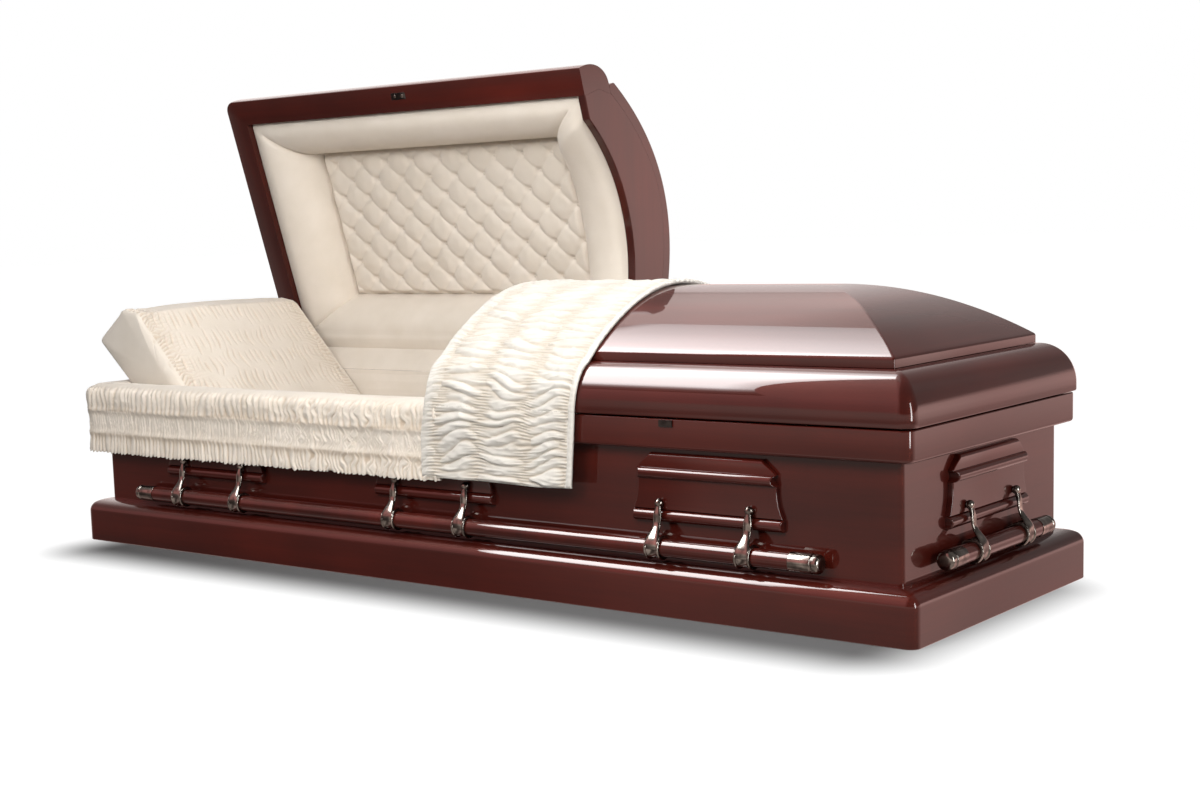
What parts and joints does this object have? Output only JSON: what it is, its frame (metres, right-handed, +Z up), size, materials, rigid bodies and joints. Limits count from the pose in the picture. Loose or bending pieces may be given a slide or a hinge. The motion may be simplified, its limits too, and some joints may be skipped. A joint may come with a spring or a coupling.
{
  "type": "funeral casket",
  "caption": "Half-couch hardwood casket with a raised head lid, padded lining, pillow, draped throw and swing-bar carrying handles.",
  "frame": {"origin": "middle of the underside of the base board, on the surface that the casket rests on", "axes": "+X towards the foot end, along the length; -Y towards the front, where the lids open; +Z up"},
  "size_m": [2.1246, 0.8148, 1.0279],
  "materials": {
    "mahogany": "high-gloss dark red-brown mahogany lacquer",
    "inside_board": "plain unlacquered board",
    "nickel": "dark antique nickel plating, softly polished",
    "cream_cloth": "soft cream crushed cloth, padded and tufted",
    "ivory_cloth": "ivory shirred cloth with a fine gather"
  },
  "bodies": {
    "casket": {"plinth_front": "mahogany", "plinth_back": "mahogany", "plinth_head": "mahogany", "plinth_foot": "mahogany", "wall_front": "mahogany", "wall_back": "mahogany", "wall_head": "mahogany", "wall_foot": "mahogany", "rail_front": "mahogany", "rail_back": "mahogany", "rail_head": "mahogany", "rail_foot": "mahogany", "base_board": "inside_board", "box_lining": "cream_cloth", "mattress": "cream_cloth", "pillow": "cream_cloth", "extendover": "cream_cloth", "latch_tab": "nickel", "head_hinge_fixed_leaf": "nickel", "foot_hinge_fixed_leaf": "nickel", "ear_front_left": "mahogany", "ear_front_middle": "mahogany", "ear_front_right": "mahogany", "ear_back_left": "mahogany", "ear_back_middle": "mahogany", "ear_back_right": "mahogany", "ear_head_middle": "mahogany", "ear_foot_middle": "mahogany"},
    "head_lid": {"head_lid_rim": "mahogany", "head_lid_crown": "mahogany", "head_lid_cut_board": "mahogany", "head_hinge_moving_leaf": "nickel", "lid_padded_roll": "cream_cloth", "lid_tufted_panel": "cream_cloth", "lid_catch_plate": "nickel"},
    "foot_lid": {"foot_lid_rim": "mahogany", "foot_lid_crown": "mahogany", "foot_lid_cut_board": "mahogany", "foot_hinge_moving_leaf": "nickel", "throw": "ivory_cloth"},
    "front_handle": {"arm_front_left_a": "nickel", "arm_front_left_b": "nickel", "arm_front_middle_a": "nickel", "arm_front_middle_b": "nickel", "arm_front_right_a": "nickel", "arm_front_right_b": "nickel", "bar_front": "mahogany"},
    "back_handle": {"arm_back_left_a": "nickel", "arm_back_left_b": "nickel", "arm_back_middle_a": "nickel", "arm_back_middle_b": "nickel", "arm_back_right_a": "nickel", "arm_back_right_b": "nickel", "bar_back": "mahogany"},
    "head_handle": {"arm_head_middle_a": "nickel", "arm_head_middle_b": "nickel", "bar_head": "mahogany"},
    "foot_handle": {"arm_foot_middle_a": "nickel", "arm_foot_middle_b": "nickel", "bar_foot": "mahogany"}
  },
  "joints": [
    {"name": "head_lid_hinge", "type": "hinge", "parent": "casket", "child": "head_lid", "pos_m": [0, 0.3471, 0.364], "axis": [-1, 0, 0], "range_deg": [-73.2, 0], "deforming": ["pillow", "extendover", "throw"]},
    {"name": "foot_lid_hinge", "type": "hinge", "parent": "casket", "child": "foot_lid", "pos_m": [0, 0.3471, 0.364], "axis": [-1, 0, 0], "range_deg": [0, 73.2]},
    {"name": "front_handle_pivot", "type": "hinge", "parent": "casket", "child": "front_handle", "pos_m": [0, -0.3229, 0.2], "axis": [-1, 0, 0], "range_deg": [0, 75]},
    {"name": "back_handle_pivot", "type": "hinge", "parent": "casket", "child": "back_handle", "pos_m": [0, 0.3229, 0.2], "axis": [1, 0, 0], "range_deg": [0, 75]},
    {"name": "head_handle_pivot", "type": "hinge", "parent": "casket", "child": "head_handle", "pos_m": [-1.0329, 0, 0.2], "axis": [0, 1, 0], "range_deg": [0, 75]},
    {"name": "foot_handle_pivot", "type": "hinge", "parent": "casket", "child": "foot_handle", "pos_m": [1.0329, 0, 0.2], "axis": [0, -1, 0], "range_deg": [0, 75]}
  ]
}
